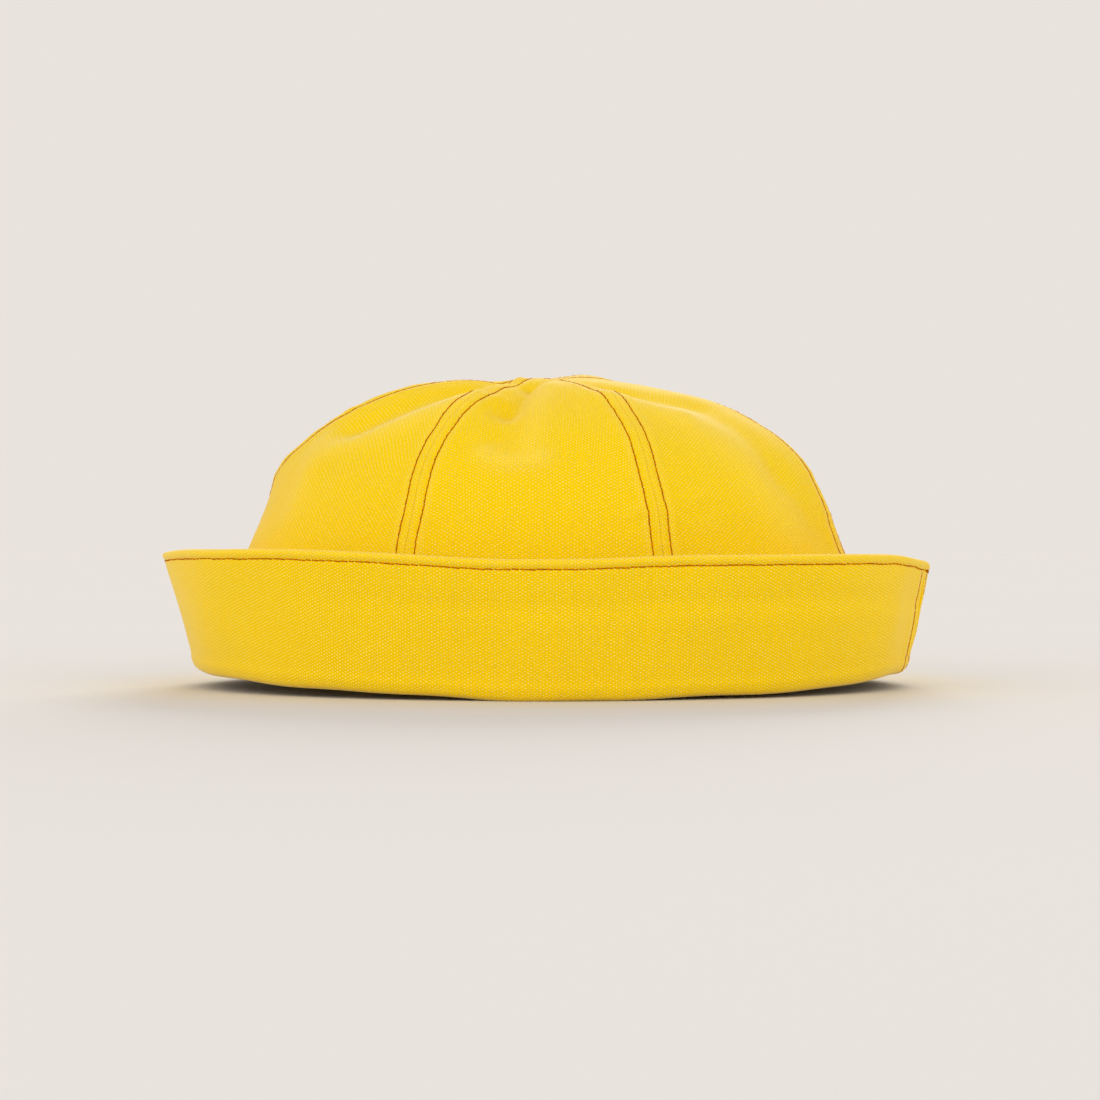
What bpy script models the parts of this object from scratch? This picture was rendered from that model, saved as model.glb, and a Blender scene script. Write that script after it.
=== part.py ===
"""Sailor cap: a six-panel canvas crown inside a turned-up, two-ply brim.

Metres, +Z up. The cap rests on z = 0 by itself, with its opening down.
+X is the back of the head, -X the forehead and -Y the wearer's left side.
An azimuth is in degrees about the vertical axis: 0 looks out along -Y, 90 along +X.
Lengths in the tables are millimetres.
"""

from collections import namedtuple

import bmesh
import bpy
import numpy as np

MM = 0.001

# Cloth
CANVAS = 1.1 * MM            # one layer of canvas
GAP = 0.3 * MM               # clearance between two sewn pieces
ALLOWANCE_WIDTH = 6.5 * MM   # cloth turned back beside each crown seam, inside
ALLOWANCE_EXTRA = 0.8 * MM   # what it adds to the wall there
ALLOWANCE_STEP = 1.0 * MM    # width of its stepped edge

# Brim
FOLD_HEIGHT = 6.0 * MM       # where the fold turns into the straight wall
BRIM_SEAM_AZIMUTH = 79.3     # the seam that closes the brim into a ring
BRIM_STATIONS = 80           # sections round the brim

# Crown
PANEL_COLUMNS = 8            # columns between the two seam allowances of a panel
PANEL_ROWS = 15              # rows from the lower edge to the tip
TIP_RADIUS = 1.0 * MM        # the six tips stop this far from the apex
NARROW_ALLOWANCE = 0.25      # near the tips an allowance is at most this part of the width
NARROW_STEP = 0.06           # and its step this part

# Working steps
FOLD_POINTS = 7              # points along the line of a fold on the crown
NORMAL_STEP = 0.5            # degrees and millimetres used to find a surface's slope
LEAST_REACH = 0.01           # millimetres, keeps a ring's oval from closing at the apex

CANVAS_YELLOW = (0.90, 0.55, 0.02, 1.0)
CANVAS_ROUGHNESS = 0.85

# How far the outside of the brim wall reaches from the axis, just above the fold.
Outline = namedtuple("Outline", "left right front back")
FOLD_OUTLINE = Outline(left=113.5, right=116.0, front=87.0, back=87.0)

# The brim by azimuth: how far its fold lifts off the surface (below 0 it is pressed
# flat on it), the height of its rim and how far the rim leans out past the fold.
Brim = namedtuple("Brim", "azimuth lift rim flare")
BRIM_TABLE = [
    Brim(-165, -0.1, 41.2, 7.9),
    Brim(-148, 1.2, 41.8, 8.1),
    Brim(-118, 4.3, 42.2, 8.2),
    Brim(-90, 5.2, 42.0, 8.1),
    Brim(-65, 4.1, 42.9, 8.2),
    Brim(-43, 2.5, 42.7, 8.2),
    Brim(-24, 1.2, 41.4, 8.0),
    Brim(-8, 0.1, 40.1, 7.8),
    Brim(8, -0.2, 40.2, 7.8),
    Brim(25, 0.7, 41.0, 7.9),
    Brim(43, 1.2, 41.4, 7.8),
    Brim(58, 2.4, 41.5, 7.2),
    Brim(69, 3.6, 41.0, 6.3),
    Brim(77, 4.6, 39.6, 5.7),
    Brim(88, 4.6, 38.2, 5.6),
    Brim(104, 3.8, 39.6, 6.5),
    Brim(124, 2.4, 41.2, 7.7),
    Brim(148, 0.9, 41.6, 8.0),
    Brim(165, -0.1, 41.2, 7.8),
    Brim(180, -0.3, 41.0, 7.8),
]

# Outer skin of the outer ply round the bottom fold, from the head side outwards.
# across is measured from the start of the wall, up from the lowest point.
FoldPoint = namedtuple("FoldPoint", "across up")
FOLD_SECTION = [
    FoldPoint(-8.0, 6.2),
    FoldPoint(-8.0, 3.0),
    FoldPoint(-7.2, 1.0),
    FoldPoint(-5.7, 0.0),
    FoldPoint(-3.7, 0.0),
    FoldPoint(-1.7, 0.9),
    FoldPoint(-0.5, 2.9),
    FoldPoint(0.0, 6.0),
]
# The lower edge of the facing, where it bends in to the crown's lower edge.
FACING_SECTION = [
    FoldPoint(-6.1, 6.6),
    FoldPoint(-4.4, 6.9),
    FoldPoint(-2.8, 8.4),
]
WALL_FRACTIONS = (0.3, 0.6, 0.85, 1.0)   # rows up the straight wall to the rim

# Outer surface of the crown, ring by ring from its lower edge to the apex. pull
# draws each panel from the round towards the straight line between its seams.
Ring = namedtuple("Ring", "height left right front back pull")
CROWN_RINGS = [
    Ring(7.0, 106.6, 109.1, 80.1, 80.1, 0.00),
    Ring(25.0, 100.9, 101.5, 76.0, 76.1, 0.05),
    Ring(43.0, 94.9, 93.9, 71.8, 72.5, 0.12),
    Ring(56.0, 89.4, 90.0, 67.5, 68.0, 0.20),
    Ring(66.0, 85.2, 85.2, 62.5, 63.0, 0.28),
    Ring(76.3, 76.4, 75.3, 55.5, 56.0, 0.36),
    Ring(84.0, 67.2, 63.5, 47.0, 48.0, 0.45),
    Ring(89.1, 58.9, 52.6, 39.0, 40.0, 0.52),
    Ring(93.0, 49.8, 39.4, 30.5, 31.0, 0.58),
    Ring(95.7, 37.5, 25.5, 20.5, 21.0, 0.62),
    Ring(97.0, 22.0, 11.5, 10.0, 10.0, 0.65),
    Ring(97.1, 3.8, -3.8, 0.0, 0.0, 0.65),
]

# The six crown seams by azimuth about each ring's centre, at distances up the wall,
# each with the panel that follows it anticlockwise from above.
SEAM_LEVELS = (0, 45, 60, 75, 90, 102, 120, 136)
Seam = namedtuple("Seam", "panel azimuths")
SEAMS = [
    Seam("crown_panel_right_front", (-152.5, -151.8, -151.5, -151.2, -150.5, -150.0, -148.0, -146.0)),
    Seam("crown_panel_left_front", (-88.0, -82.0, -80.0, -79.0, -80.0, -80.0, -77.0, -72.0)),
    Seam("crown_panel_left", (-31.0, -32.4, -33.1, -32.4, -29.7, -24.8, -21.0, -19.0)),
    Seam("crown_panel_left_back", (27.0, 27.0, 27.0, 28.3, 30.9, 33.6, 35.5, 37.0)),
    Seam("crown_panel_right_back", (79.5, 78.4, 77.4, 78.4, 80.0, 81.0, 82.5, 84.0)),
    Seam("crown_panel_right", (156.0, 155.5, 155.0, 154.5, 153.5, 153.0, 150.0, 148.0)),
]

# Soft dents (depth below 0) and ridges along a line on the crown, from one
# azimuth and distance up the wall to another. width is the half-width and bend
# is how far up the wall the middle of the line bows.
Fold = namedtuple("Fold", "azimuth along to_azimuth to_along width depth bend", defaults=(0.0,))
CROWN_FOLDS = [
    Fold(-66, 78, -40, 110, 7.0, -3.0, 2.0),    # hollow above the left ridge
    Fold(-64, 70, -27, 112, 4.5, 1.6, -7.0),    # the left ridge
    Fold(-100, 72, -128, 122, 9.0, 1.1),        # swell behind the left side seam
    Fold(1, 122, -12, 91, 5.5, -1.7, -1.0),     # pinch below the apex
    Fold(-12, 92, -14, 76, 6.0, -1.1),          # its lower end
    Fold(-16, 68, -2, 67, 6.0, 0.8, -3.0),      # lip below it
    Fold(36, 100, 50, 85, 5.0, 1.3, -2.0),      # ridge beside the right seam
    Fold(50, 106, 68, 94, 7.0, -2.0),           # hollow above it
    Fold(52, 83, 60, 43, 7.0, 1.0),             # broad ridge down the right panel
    Fold(66, 82, 67, 42, 6.0, -0.8),            # valley behind it
    Fold(150, 124, 118, 128, 9.0, 2.6),         # hump behind the apex
    Fold(-118, 104, -136, 84, 9.0, -2.2),       # hollow on the far left
    Fold(176, 100, 190, 82, 8.0, -1.6),         # dent on the far side
    Fold(112, 96, 128, 76, 9.0, -1.4),          # dent at the back right
]


def smooth(keys, values, at):
    """A smooth curve through the points (keys, values), read at the given keys."""
    keys, values, at = (np.asarray(item, float) for item in (keys, values, at))
    slopes = np.gradient(values, keys)
    start = np.clip(np.searchsorted(keys, at, side="right") - 1, 0, len(keys) - 2)
    step = keys[start + 1] - keys[start]
    u = np.clip((at - keys[start]) / step, 0.0, 1.0)
    low, high = values[start], values[start + 1]
    rise = low + (high - low) * u * u * (3 - 2 * u)
    bend = (1 - u) * slopes[start] - u * slopes[start + 1]
    return rise + u * (1 - u) * step * bend


def column(table, name):
    """One named column of a table."""
    return [getattr(row, name) for row in table]


def brim_value(name, azimuth):
    """A column of the brim's table at any azimuth, in metres."""
    keys = column(BRIM_TABLE, "azimuth")
    values = column(BRIM_TABLE, name)
    keys = [keys[-2] - 360, keys[-1] - 360] + keys + [keys[0] + 360, keys[1] + 360]
    values = values[-2:] + values + values[:2]
    wrapped = (np.asarray(azimuth, float) + 180.0) % 360.0 - 180.0
    return np.maximum(smooth(keys, values, wrapped), 0.0) * MM


def direction(azimuth):
    """Horizontal unit vectors that point out along the azimuths."""
    angle = np.radians(azimuth)
    return np.stack([np.sin(angle), -np.cos(angle), np.zeros_like(angle)], axis=-1)


def oval_reach(azimuth, half_x, half_y):
    """Distance from an oval's centre to its edge along the azimuths."""
    angle = np.radians(azimuth)
    return 1.0 / np.hypot(np.sin(angle) / half_x, np.cos(angle) / half_y)


# ---- Crown surface ----------------------------------------------------------

def ring_distances():
    """Distance up the wall from the lower edge to each ring, on average."""
    reach = [np.mean([row.left, row.right, row.front, row.back]) for row in CROWN_RINGS]
    steps = np.hypot(np.diff(reach), np.diff(column(CROWN_RINGS, "height")))
    return np.concatenate([[0.0], np.cumsum(steps)])


RING_ALONG = ring_distances()
CROWN_LENGTH = RING_ALONG[-1]


def seam_azimuth(index, along):
    """Azimuth of a crown seam at a distance up the wall in millimetres."""
    turn, index = divmod(index, len(SEAMS))
    return smooth(SEAM_LEVELS, SEAMS[index].azimuths, along) + 360.0 * turn


def ring_values(along):
    """The crown ring's columns at distances up the wall."""
    return Ring(*(smooth(RING_ALONG, column(CROWN_RINGS, name), along) for name in Ring._fields))


def oval_point(azimuth, along):
    """The crown's round form, before its panels pull straight."""
    ring = ring_values(along)
    centre_x, centre_y = (ring.right - ring.left) / 2, (ring.back - ring.front) / 2
    centre = np.stack([centre_x, centre_y, ring.height], axis=-1)
    half_x = np.maximum((ring.left + ring.right) / 2, LEAST_REACH)
    half_y = np.maximum((ring.front + ring.back) / 2, LEAST_REACH)
    reach = oval_reach(azimuth, half_x, half_y)
    point = (centre + reach[..., None] * direction(azimuth)) * MM
    low_down = np.clip(1.0 - along / CROWN_LENGTH, 0.0, 1.0)
    point[..., 2] += brim_value("lift", azimuth) * low_down
    return point


def outward(azimuth, along):
    """Unit vectors that point straight out of the crown's round form."""
    along = np.clip(along, 0.0, CROWN_LENGTH - 2 * NORMAL_STEP)
    around = oval_point(azimuth + NORMAL_STEP, along) - oval_point(azimuth - NORMAL_STEP, along)
    upwards = oval_point(azimuth, along + NORMAL_STEP) - oval_point(azimuth, along)
    normal = np.cross(around, upwards)
    return normal / np.linalg.norm(normal, axis=-1, keepdims=True)


def distance_to_line(points, line):
    """Least distance from each point to a line of joined segments."""
    least = np.full(points.shape[:-1], np.inf)
    for start, end in zip(line[:-1], line[1:]):
        run = end - start
        part = np.clip((points - start) @ run / (run @ run), 0.0, 1.0)
        nearest = start + part[..., None] * run
        least = np.minimum(least, np.linalg.norm(points - nearest, axis=-1))
    return least


def fold_height(points):
    """How far all the dents and ridges move points of the round form."""
    height = np.zeros(points.shape[:-1])
    part = np.linspace(0.0, 1.0, FOLD_POINTS)
    for fold in CROWN_FOLDS:
        azimuths = fold.azimuth + (fold.to_azimuth - fold.azimuth) * part
        bow = 4 * fold.bend * part * (1 - part)
        alongs = fold.along + (fold.to_along - fold.along) * part + bow
        gap = distance_to_line(points, oval_point(azimuths, alongs)) / MM
        height += fold.depth * MM * np.exp(-(gap / fold.width) ** 2)
    return height


def panel_point(index, across, along):
    """Outer surface of a panel: across is 0 at its first seam and 1 at its next."""
    first, last = seam_azimuth(index, along), seam_azimuth(index + 1, along)
    azimuth = first + (last - first) * across
    plain = oval_point(azimuth, along)
    first_edge, last_edge = oval_point(first, along), oval_point(last, along)
    chord = first_edge + (last_edge - first_edge) * across[..., None]
    pull = ring_values(along).pull[..., None]
    pulled = plain + (chord - plain) * pull
    normal = outward(azimuth, along)
    return pulled + normal * fold_height(plain)[..., None], normal


def panel_columns(width):
    """Where the columns of one row stand, as parts of the panel's width."""
    allowance = min(ALLOWANCE_WIDTH, NARROW_ALLOWANCE * width)
    step = min(ALLOWANCE_STEP, NARROW_STEP * width)
    inner = np.linspace(allowance + step, width - allowance - step, PANEL_COLUMNS + 1)
    edge = GAP / 2
    return np.concatenate([[edge, allowance], inner, [width - allowance, width - edge]]) / width


def crown_panel(index):
    """One gore of the crown, thicker inside where its seam allowances lie."""
    tip = CROWN_LENGTH - TIP_RADIUS / MM
    outer, inner = [], []
    for along in np.linspace(0.0, tip, PANEL_ROWS + 1):
        first, last = (oval_point(seam_azimuth(index + side, along), along) for side in (0, 1))
        width = np.linalg.norm(last - first)
        across = panel_columns(width)
        points, normals = panel_point(index, across, np.full(across.shape, along))
        thickness = np.full(across.shape, CANVAS)
        thickness[[0, 1, -2, -1]] += ALLOWANCE_EXTRA
        outer.append(points)
        inner.append(points - normals * thickness[:, None])
    return np.array(outer), np.array(inner)


# ---- Brim sections ----------------------------------------------------------

def brim_frame(azimuth):
    """Start of the brim's wall on the surface, and the way out from it."""
    ways = direction(azimuth)
    half_x = np.where(ways[..., 0] > 0, FOLD_OUTLINE.right, FOLD_OUTLINE.left)
    half_y = np.where(ways[..., 1] < 0, FOLD_OUTLINE.front, FOLD_OUTLINE.back)
    start = ways * oval_reach(azimuth, half_x, half_y)[..., None]
    out = start / np.stack([half_x, half_y, np.ones_like(half_x)], axis=-1) ** 2
    return start * MM, out / np.linalg.norm(out, axis=-1, keepdims=True)


def wall_rows(azimuth, fractions):
    """(across, up) of the straight wall at the given parts of its height."""
    height = brim_value("rim", azimuth) - brim_value("lift", azimuth) - FOLD_HEIGHT
    flare = brim_value("flare", azimuth)
    parts = np.asarray(fractions)[:, None]
    return np.stack([flare * parts, FOLD_HEIGHT + height * parts], axis=-1)


def fold_rows(section, azimuth):
    """(across, up) of a fold's section, repeated at each azimuth."""
    points = np.array(section) * MM
    return np.repeat(points[:, None, :], len(azimuth), axis=1)


def section_normals(rows):
    """Unit vectors square to each section, on the side that faces out."""
    along = np.gradient(rows, axis=0)
    normal = np.stack([along[..., 1], -along[..., 0]], axis=-1)
    return normal / np.linalg.norm(normal, axis=-1, keepdims=True)


def place_sections(rows, azimuth):
    """Stand the (across, up) sections at their places round the brim."""
    start, out = brim_frame(azimuth)
    points = start + rows[..., :1] * out
    points[..., 2] = brim_value("lift", azimuth) + rows[..., 1]
    return points


def brim_azimuths():
    """Stations round the brim, from one side of its seam to the other."""
    half_slit = np.degrees(GAP / 2 / (FOLD_OUTLINE.right * MM))
    return np.linspace(half_slit, 360 - half_slit, BRIM_STATIONS + 1) + BRIM_SEAM_AZIMUTH


def brim_outer():
    """Outer ply: from the crown's lower edge, round the fold and up to the rim."""
    azimuth = brim_azimuths()
    rows = np.concatenate([fold_rows(FOLD_SECTION, azimuth), wall_rows(azimuth, WALL_FRACTIONS)])
    inner = rows - section_normals(rows) * CANVAS
    return place_sections(rows, azimuth), place_sections(inner, azimuth)


def brim_facing():
    """Facing ply: beside the outer ply, then in to the crown's lower edge."""
    azimuth = brim_azimuths()
    wall = wall_rows(azimuth, WALL_FRACTIONS)
    wall -= section_normals(wall) * (CANVAS + GAP)
    rows = np.concatenate([fold_rows(FACING_SECTION, azimuth), wall])
    inner = rows - section_normals(rows) * CANVAS
    return place_sections(rows, azimuth), place_sections(inner, azimuth)


# ---- Objects ----------------------------------------------------------------

def grid_faces(corner):
    """Quads over a grid of vertices, seen from its outer side."""
    for low, high in zip(corner[:-1], corner[1:]):
        for k in range(len(low) - 1):
            yield low[k], low[k + 1], high[k + 1], high[k]


def shell_object(name, outer, inner):
    """A closed sheet of cloth between an outer and an inner grid of points."""
    mesh = bmesh.new()
    out_grid = [[mesh.verts.new(point) for point in row] for row in outer]
    in_grid = [[mesh.verts.new(point) for point in row] for row in inner]
    for quad in grid_faces(out_grid):
        mesh.faces.new(quad)
    for quad in grid_faces(in_grid):
        mesh.faces.new(quad[::-1])
    out_rim = edge_loop(out_grid)
    in_rim = edge_loop(in_grid)
    for k in range(len(out_rim)):
        mesh.faces.new((out_rim[k], out_rim[k - 1], in_rim[k - 1], in_rim[k]))
    bmesh.ops.recalc_face_normals(mesh, faces=mesh.faces[:])
    data = bpy.data.meshes.new(name)
    mesh.to_mesh(data)
    mesh.free()
    data.shade_smooth()
    data.set_sharp_from_angle(angle=np.radians(50))
    data.materials.append(canvas_material(name))
    bpy.context.collection.objects.link(bpy.data.objects.new(name, data))


def edge_loop(grid):
    """The vertices round the border of a grid, in order."""
    bottom, top = grid[0], grid[-1]
    right = [row[-1] for row in grid[1:-1]]
    left = [row[0] for row in grid[1:-1]]
    return bottom + right + top[::-1] + left[::-1]


def canvas_material(name):
    """Matt yellow cotton canvas."""
    material = bpy.data.materials.new(name)
    material.use_nodes = True
    shader = material.node_tree.nodes["Principled BSDF"]
    shader.inputs["Base Color"].default_value = CANVAS_YELLOW
    shader.inputs["Roughness"].default_value = CANVAS_ROUGHNESS
    shader.inputs["Metallic"].default_value = 0.0
    return material


def build():
    """Model the whole cap."""
    for item in list(bpy.data.objects):
        bpy.data.objects.remove(item, do_unlink=True)
    for index, seam in enumerate(SEAMS):
        shell_object(seam.panel, *crown_panel(index))
    shell_object("brim_outer", *brim_outer())
    shell_object("brim_facing", *brim_facing())


build()
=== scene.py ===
"""Looks of the sailor cap: fine canvas panels, brim plies, topstitching and a studio.

Metres, +Z up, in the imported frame. An azimuth is in degrees about the vertical axis:
0 looks out along -Y, the camera's side, and 90 along +X, the back of the head.
The form follows the CAD's tables, in millimetres. Three crown seams, the brim's seam, the
dents and the creases are set finer than the CAD's. Each cloth piece replaces its CAD node.
"""

from collections import namedtuple

import bpy
import numpy as np
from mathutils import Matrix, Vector
from mathutils.bvhtree import BVHTree


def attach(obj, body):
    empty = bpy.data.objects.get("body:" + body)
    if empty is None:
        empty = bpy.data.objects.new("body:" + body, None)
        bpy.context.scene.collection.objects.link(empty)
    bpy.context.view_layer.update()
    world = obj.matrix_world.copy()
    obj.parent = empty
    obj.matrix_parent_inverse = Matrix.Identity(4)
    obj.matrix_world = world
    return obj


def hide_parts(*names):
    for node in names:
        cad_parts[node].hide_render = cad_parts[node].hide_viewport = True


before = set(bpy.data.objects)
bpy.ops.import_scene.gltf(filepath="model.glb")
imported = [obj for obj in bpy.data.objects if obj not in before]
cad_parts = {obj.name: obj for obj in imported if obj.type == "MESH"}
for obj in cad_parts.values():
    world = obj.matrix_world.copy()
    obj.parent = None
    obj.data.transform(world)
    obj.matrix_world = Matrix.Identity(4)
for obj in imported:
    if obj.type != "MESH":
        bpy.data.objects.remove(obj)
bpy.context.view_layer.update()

MM = 0.001
BODY = "root"
join = np.concatenate

# ---- Form as in the CAD (millimetres)

CANVAS = 1.1  # one layer of canvas
GAP = 0.3  # between the two plies of the brim
FOLD_HEIGHT = 6.0  # where the bottom fold turns into the brim's wall
FOLD_POINTS = 7  # points along the line of a fold on the crown
NORMAL_STEP = 0.5  # degrees and millimetres, to find a slope
LEAST_REACH = 0.01  # keeps a ring's oval open at the apex

Outline = namedtuple("Outline", "left right front back")
FOLD_OUTLINE = Outline(left=113.5, right=116.0, front=87.0, back=87.0)

Brim = namedtuple("Brim", "azimuth lift rim flare")
BRIM_TABLE = [Brim(*row) for row in (
    (-165, -0.1, 41.2, 7.9),
    (-148, 1.2, 41.8, 8.1),
    (-118, 4.3, 42.2, 8.2),
    (-90, 5.2, 42.0, 8.1),
    (-65, 4.1, 42.9, 8.2),
    (-43, 2.5, 42.7, 8.2),
    (-24, 1.2, 41.4, 8.0),
    (-8, 0.1, 40.1, 7.8),
    (8, -0.2, 40.2, 7.8),
    (25, 0.7, 41.0, 7.9),
    (43, 1.2, 41.4, 7.8),
    (58, 2.4, 41.5, 7.2),
    (69, 3.6, 41.0, 6.3),
    (77, 4.6, 39.6, 5.7),
    (88, 4.6, 38.2, 5.6),
    (104, 3.8, 39.6, 6.5),
    (124, 2.4, 41.2, 7.7),
    (148, 0.9, 41.6, 8.0),
    (165, -0.1, 41.2, 7.8),
    (180, -0.3, 41.0, 7.8),
)]

FoldPoint = namedtuple("FoldPoint", "across up")
FOLD_SECTION = [
    FoldPoint(-8.0, 6.2),
    FoldPoint(-8.0, 3.0),
    FoldPoint(-7.2, 1.0),
    FoldPoint(-5.7, 0.0),
    FoldPoint(-3.7, 0.0),
    FoldPoint(-1.7, 0.9),
    FoldPoint(-0.5, 2.9),
    FoldPoint(0.0, 6.0),
]
FOLD_LEADS_TO = FoldPoint(0.9, 10.2)  # steers the fold's curve into the wall
FACING_SECTION = [
    FoldPoint(-6.1, 6.6),
    FoldPoint(-4.4, 6.9),
    FoldPoint(-2.8, 8.4),
]
FACING_BEND = 0.3  # part of the wall's height where its bend ends
FACING_LEADS_TO = 6.0  # steers its curve up the wall

Ring = namedtuple("Ring", "height left right front back pull")
CROWN_RINGS = [Ring(*row) for row in (
    (7.0, 106.6, 109.1, 80.1, 80.1, 0.00),
    (25.0, 100.9, 101.5, 76.0, 76.1, 0.05),
    (43.0, 94.9, 93.9, 71.8, 72.5, 0.12),
    (56.0, 89.4, 90.0, 67.5, 68.0, 0.20),
    (66.0, 85.2, 85.2, 62.5, 63.0, 0.28),
    (76.3, 76.4, 75.3, 55.5, 56.0, 0.36),
    (84.0, 67.2, 63.5, 47.0, 48.0, 0.45),
    (89.1, 58.9, 52.6, 39.0, 40.0, 0.52),
    (93.0, 49.8, 39.4, 30.5, 31.0, 0.58),
    (95.7, 37.5, 25.5, 20.5, 21.0, 0.62),
    (97.0, 22.0, 11.5, 10.0, 10.0, 0.65),
    (97.1, 3.8, -3.8, 0.0, 0.0, 0.65),
)]

# ---- Seams and folds, finer than in the CAD (millimetres)

# The crown's seams by azimuth at distances up the wall, and the panel after each.
SEAM_LEVELS = (0, 45, 60, 75, 90, 102, 120, 136)
Seam = namedtuple("Seam", "panel azimuths")
SEAMS = [
    Seam("crown_panel_right_front", (-152.5, -151.8, -151.5, -151.2, -150.5, -150, -148, -146)),
    Seam("crown_panel_left_front", (-98.0, -95.5, -91.5, -82.0, -75.0, -70.0, -62.0, -54.0)),
    Seam("crown_panel_left", (-31.0, -32.4, -33.1, -32.4, -29.7, -24.8, -21.0, -19.0)),
    Seam("crown_panel_left_back", (28.6, 26.9, 26.9, 28.3, 30.9, 33.6, 35.5, 37.0)),
    Seam("crown_panel_right_back", (79.5, 78.8, 79.3, 83.0, 90.0, 96.0, 102.0, 106.0)),
    Seam("crown_panel_right", (156.0, 155.5, 155.0, 154.5, 153.5, 153.0, 150.0, 148.0)),
]
BRIM_SEAM_AZIMUTH = 78.8  # the seam that closes the brim into a ring

# Soft dents (depth below 0) and ridges of the crown, from one azimuth and distance up the
# wall to another. width is the half-width, bend how far up the middle of the line bows.
Fold = namedtuple("Fold", "azimuth along to_azimuth to_along width depth bend", defaults=(0.0,))
CROWN_FOLDS = [Fold(*row) for row in (
    # left of the left seam
    (-62, 80, -38, 108, 6.6, -2.8, 2.0),  # hollow above the ridge
    (-34, 107, -28, 128, 5.0, -2.4),  # its end
    (-63, 70, -30, 99, 5.2, 1.6, -4.0),  # the ridge
    (-27, 103, -20, 134, 2.4, 1.1, -1.0),  # its end
    (-70, 72, -68, 47, 6.0, 0.8),  # soft ridge at the end
    (-62, 63, -61, 59, 4.0, -0.4),  # dent under the ridge
    (-94, 64, -122, 108, 11.0, 1.3),  # the far side swells
    # panel that faces the camera
    (1, 118, -12, 91, 4.5, -2.6, -1.0),  # pinch below the apex
    (-12, 92, -13, 76, 4.5, -1.9),  # its lower end
    (3, 118, -8, 98, 1.8, -0.9),  # its sharp line
    (5, 108, -5, 73, 4.5, 1.1, 1.0),  # ridge beside the pinch
    (-17, 68, -1, 67, 3.4, 1.5, -3.0),  # lip below the pinch
    (-9, 122, -14, 106, 6.0, -1.1),  # the apex sinks
    (14, 111, 27, 98, 4.5, 0.6),  # soft ridge
    # right of the right seam
    (36, 100, 50, 85, 5.4, 1.3, -2.0),  # ridge
    (50, 106, 68, 94, 7.0, -2.0),  # hollow above it
    (43, 124, 52, 108, 5.0, -1.5),  # and beside the apex
    (52, 83, 60, 43, 9.0, 1.1),  # broad ridge down the panel
    (66, 82, 63, 60, 6.0, -0.9),  # valley behind it
    (64, 60, 71, 38, 6.0, -0.7),  # its lower end
    (88, 122, 86, 98, 8.0, 0.5),  # the far side swells
    (81, 56, 86, 78, 8.0, -0.7),  # and sinks below
    # puckers on both sides of the right seam
    (35, 56, 38, 60, 2.2, -0.25),
    (36.5, 52, 40, 55, 2.2, 0.20),
    (36, 48, 40, 50, 2.4, -0.25),
    (36.5, 45, 40, 44, 2.4, 0.2),
    (22.5, 50, 19.5, 47, 1.8, 0.22),
    (22.5, 46.5, 19.5, 44, 1.8, -0.22),
    # left of the apex, and the sides that the camera doesn't see
    (-98, 116, -70, 136, 9.0, -1.1),
    (150, 124, 118, 128, 9.0, 2.6),  # hump behind the apex
    (-118, 104, -136, 84, 9.0, -2.2),
    (176, 100, 190, 82, 8.0, -1.6),
    (112, 96, 128, 76, 9.0, -1.4),
)]

# Shallow creases along the brim's wall: spread in degrees, down from the rim.
Crease = namedtuple("Crease", "azimuth spread down width depth")
BRIM_CREASES = [
    Crease(20, 62, 13.5, 2.4, -0.35),
    Crease(56, 20, 12.5, 3.0, -0.35),
    Crease(-10, 18, 14.0, 3.0, -0.20),
    Crease(40, 40, 18.5, 4.5, 0.25),
    Crease(72.5, 2.2, 14.0, 13.0, -0.35),
    Crease(BRIM_SEAM_AZIMUTH, 1.5, 20.0, 13.0, 0.80),
]

# Chance unevenness: its height, first seed, and shortest and longest wave.
Ripple = namedtuple("Ripple", "height seed shortest longest")
WAVE_COUNT = 16
CLOTH_WAVES = Ripple(0.18, 11, 30.0, 90.0)  # the crown's cloth
BRIM_WAVES = Ripple(0.35, 72, 30.0, 110.0)  # the brim's cloth
PUCKERS = Ripple(0.07, 20, 4.5, 16.0)  # along a seam
STREAKS = Ripple(0.07, 220, 8.0, 22.0)  # creases between a seam's rows
RIM_PUCKERS = Ripple(0.035, 71, 5.0, 18.0)  # along the rim's row
ALLOWANCE_RAGS = Ripple(0.2, 40, 3.0, 20.0)  # the pressed allowance's edge
ROW_WANDER = Ripple(0.08, 80, 6.0, 40.0)  # a crown row's way from its line
RIM_WANDER = Ripple(0.35, 91, 8.0, 60.0)  # the rim row's, in parts of a wall row
BRIM_SEAM_SIDES = (41, 42)  # seed numbers of the brim seam's sides

# ---- Sewing (millimetres)

STITCH_PITCH = 2.4
ROW_OFFSET = 2.95  # from a seam to each of its twin rows
ROW_START = 1.5  # the crown's rows start this far up
ROW_STOP = 6.0  # and end this far from the apex or cross it
ROW_STEP = 0.5
BRIDGE_POINTS = 16  # points of a row over the apex
SEAM_ROLL = 0.55  # width of the cloth's roll into the ditch
SEAM_DEPTH = 0.26  # how deep the ditch is
WELT = 0.22  # the allowance inside lifts the cloth
WELT_EDGE = 0.5
GROOVE = 0.20  # how deep a row of stitches pulls in
GROOVE_WIDTH = 0.55
STREAKS_ACROSS = 6.0  # times finer across the seam than along it
PUCKER_REACH = 5.5
ALLOWANCE_WIDTH = 6.5  # cloth turned back beside each seam, inside
ALLOWANCE = 0.95  # thickness of the pressed allowance inside
ALLOWANCE_TRIM = 0.15  # its edge stops this much short of its width
ALLOWANCE_EDGE = 0.18
INNER_GROOVE = 0.25
INNER_DITCH = 0.8  # in parts of the ditch outside
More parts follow.
